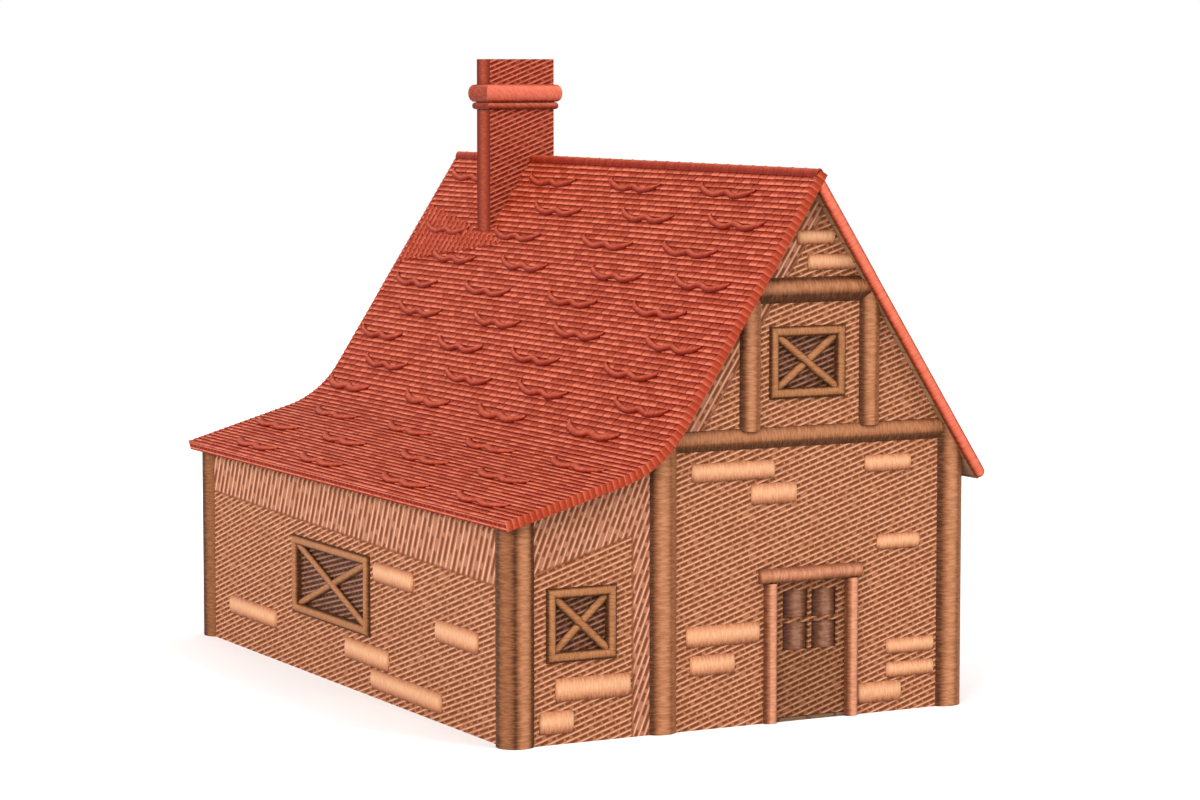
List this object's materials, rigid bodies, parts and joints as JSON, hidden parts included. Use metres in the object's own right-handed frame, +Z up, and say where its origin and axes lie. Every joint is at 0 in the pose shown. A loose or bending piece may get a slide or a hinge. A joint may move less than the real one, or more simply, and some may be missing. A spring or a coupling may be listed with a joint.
{
  "type": "timber-framed cottage with a lean-to",
  "caption": "Cottage with round timber posts and beams, rendered walls, a steep tiled roof that sweeps down over a lean-to, a brick chimney and a hinged front door.",
  "frame": {"origin": "on the ground at the middle of the cottage's bounding box", "axes": "+Z up, +Y to the back along the ridge, +X to the right of someone who faces the front gable"},
  "size_m": [7.33, 10.93, 8.79],
  "materials": {
    "plaster": "combed render, matt",
    "log": "peeled log, oiled",
    "roof": "matt clay tile",
    "brick": "matt brick",
    "flagstone": "worn stone",
    "floor_boards": "bare boards",
    "frame_wood": "oiled wood",
    "door_wood": "dark stained boards",
    "window_wood": "oiled wood",
    "glass": "dark pane",
    "iron": "blackened"
  },
  "bodies": {
    "cottage": {"front_wall_left": "plaster", "front_wall_right": "plaster", "front_wall_over_door": "plaster", "right_wall": "plaster", "rear_wall": "plaster", "gable_wall_front": "plaster", "gable_wall_rear": "plaster", "lean_to_front_wall": "plaster", "lean_to_rear_wall": "plaster", "lean_to_side_wall": "plaster", "post_front_left": "log", "post_front_middle": "log", "post_front_right": "log", "post_rear_left": "log", "post_rear_middle": "log", "post_rear_right": "log", "arcade_post": "log", "arcade_plate": "log", "eaves_plate_left": "log", "eaves_plate_right": "log", "tie_beam_front": "log", "tie_beam_rear": "log", "collar_front": "log", "collar_rear": "log", "stud_front_left": "log", "stud_front_right": "log", "stud_rear_left": "log", "stud_rear_right": "log", "roof_right": "roof", "roof_left": "roof", "roof_lean_to": "roof", "chimney_stack": "brick", "chimney_head": "brick", "ground_floor": "flagstone", "loft_floor": "floor_boards", "door_jamb_left": "frame_wood", "door_jamb_right": "frame_wood", "door_lintel": "frame_wood", "hinge_pin_lower": "iron", "hinge_pin_upper": "iron", "gable_window_front_frame": "window_wood", "gable_window_rear_frame": "window_wood", "lean_to_window_frame": "window_wood", "rear_window_frame": "window_wood", "right_window_frame": "window_wood", "side_window_frame": "window_wood", "gable_window_front_glass": "glass", "gable_window_rear_glass": "glass", "lean_to_window_glass": "glass", "rear_window_glass": "glass", "right_window_glass": "glass", "side_window_glass": "glass"},
    "front_door": {"door_leaf": "door_wood", "door_glass": "glass", "hinge_strap_lower": "iron", "hinge_strap_upper": "iron"}
  },
  "joints": [
    {"name": "door_hinge", "type": "hinge", "parent": "cottage", "child": "front_door", "pos_m": [0.425, -5.159, 1], "axis": [0, 0, 1], "range_deg": [0, 100]}
  ]
}
